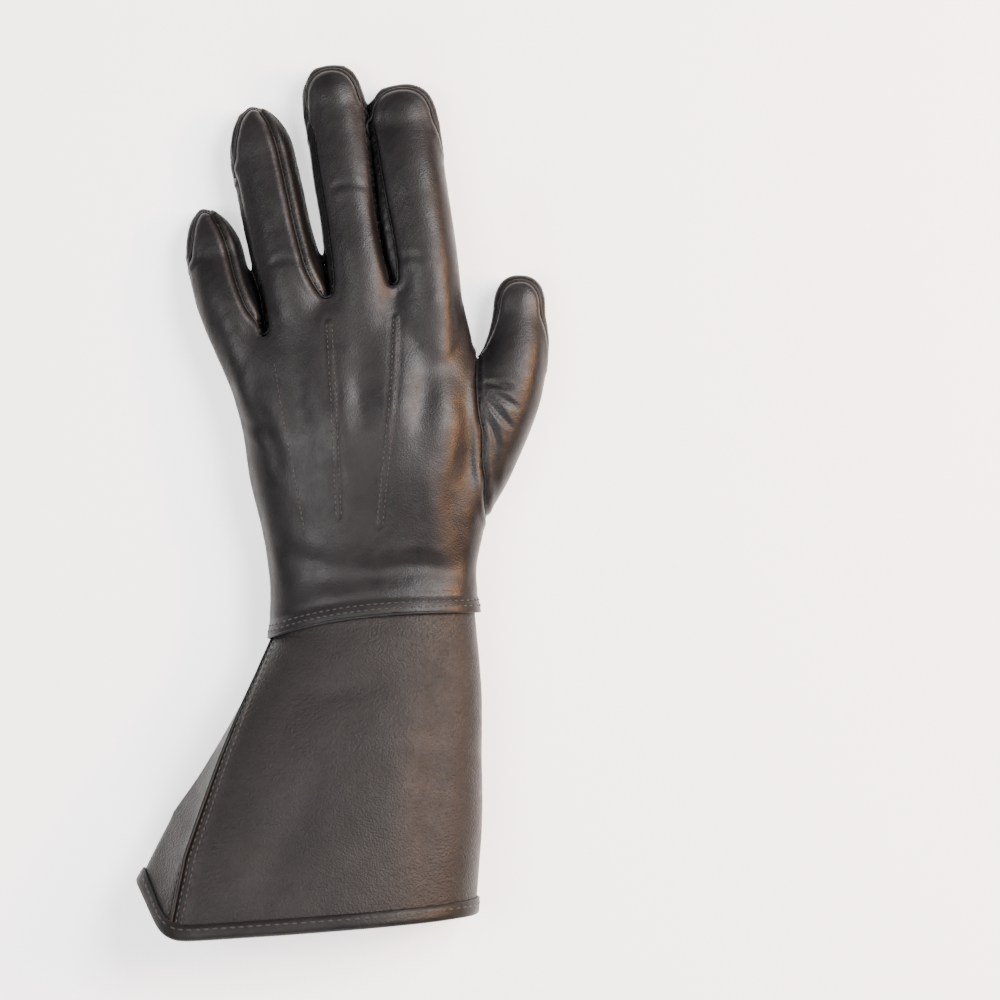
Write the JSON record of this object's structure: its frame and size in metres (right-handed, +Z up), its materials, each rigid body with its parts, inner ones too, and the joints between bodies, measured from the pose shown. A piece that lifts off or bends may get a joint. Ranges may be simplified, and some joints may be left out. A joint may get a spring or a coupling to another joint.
{
  "type": "motorcycle gauntlet glove",
  "caption": "Hollow leather gauntlet glove for the left hand, lying palm down, with sewn-in finger sides, a set-in thumb and a flared cuff with a side gusset and bound hem",
  "frame": {"origin": "middle of the glove's box, on the surface that it lies on", "axes": "+Y along the fingers from the hem, +X to the thumb side, +Z up out of the back of the hand"},
  "size_m": [0.1692, 0.3566, 0.0593],
  "materials": {
    "hand_leather": "satin",
    "cuff_leather": "pebbled",
    "hem_leather": "satin"
  },
  "bodies": {
    "root": {"hand_back": "hand_leather", "hand_palm": "hand_leather", "fourchette_little_ring": "hand_leather", "fourchette_ring_middle": "hand_leather", "fourchette_middle_index": "hand_leather", "thumb": "hand_leather", "thumb_gusset": "hand_leather", "cuff_panel": "cuff_leather", "cuff_gusset": "cuff_leather", "hem_binding": "hem_leather"}
  },
  "joints": []
}
